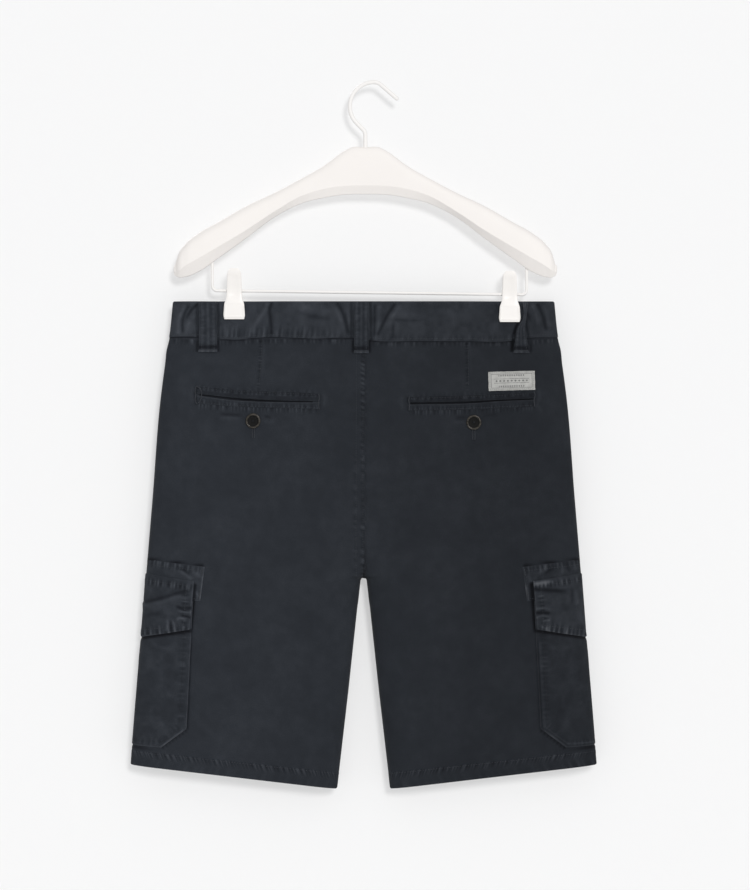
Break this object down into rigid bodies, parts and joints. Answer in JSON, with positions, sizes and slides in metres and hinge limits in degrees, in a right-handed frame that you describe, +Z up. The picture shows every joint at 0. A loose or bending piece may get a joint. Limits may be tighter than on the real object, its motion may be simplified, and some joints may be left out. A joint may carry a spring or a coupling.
{
  "type": "cargo shorts on a clip hanger",
  "caption": "Knee-length cotton cargo shorts hung flat by the waistband from a clip hanger, with side cargo pockets, welt back pockets and belt loops.",
  "frame": {"origin": "inside of the hook's crown, where the hanger rests on its rail", "axes": "+Z up; -Y is the side that the back of the shorts faces; +X is to the right when looking at that side"},
  "size_m": [0.54, 0.042, 0.8218],
  "materials": {
    "twill": "garment-dyed dark navy cotton twill, matt",
    "horn_button": "dark horn-effect resin, polished",
    "woven_label": "grey woven tape, matt",
    "hanger_plastic": "warm white moulded plastic, satin",
    "coated_wire": "white coated steel wire, satin"
  },
  "bodies": {
    "root": {"back_panel_left": "twill", "back_panel_right": "twill", "front_panel_left": "twill", "front_panel_right": "twill", "waistband_back": "twill", "waistband_front_left": "twill", "waistband_front_right": "twill", "fly_placket": "twill", "belt_loop_back_left": "twill", "belt_loop_back_centre": "twill", "belt_loop_back_right": "twill", "belt_loop_front_left": "twill", "belt_loop_front_right": "twill", "welt_upper_left": "twill", "welt_lower_left": "twill", "welt_upper_right": "twill", "welt_lower_right": "twill", "cargo_facing_left": "twill", "cargo_bag_left": "twill", "cargo_flap_left": "twill", "cargo_facing_right": "twill", "cargo_bag_right": "twill", "cargo_flap_right": "twill", "back_button_left": "horn_button", "back_button_right": "horn_button", "waist_button": "horn_button", "label": "woven_label", "hanger_body": "hanger_plastic", "clip_left_front": "hanger_plastic", "clip_left_rear": "hanger_plastic", "clip_right_front": "hanger_plastic", "clip_right_rear": "hanger_plastic", "hanger_hook": "coated_wire", "hanger_bar": "coated_wire"}
  },
  "joints": []
}
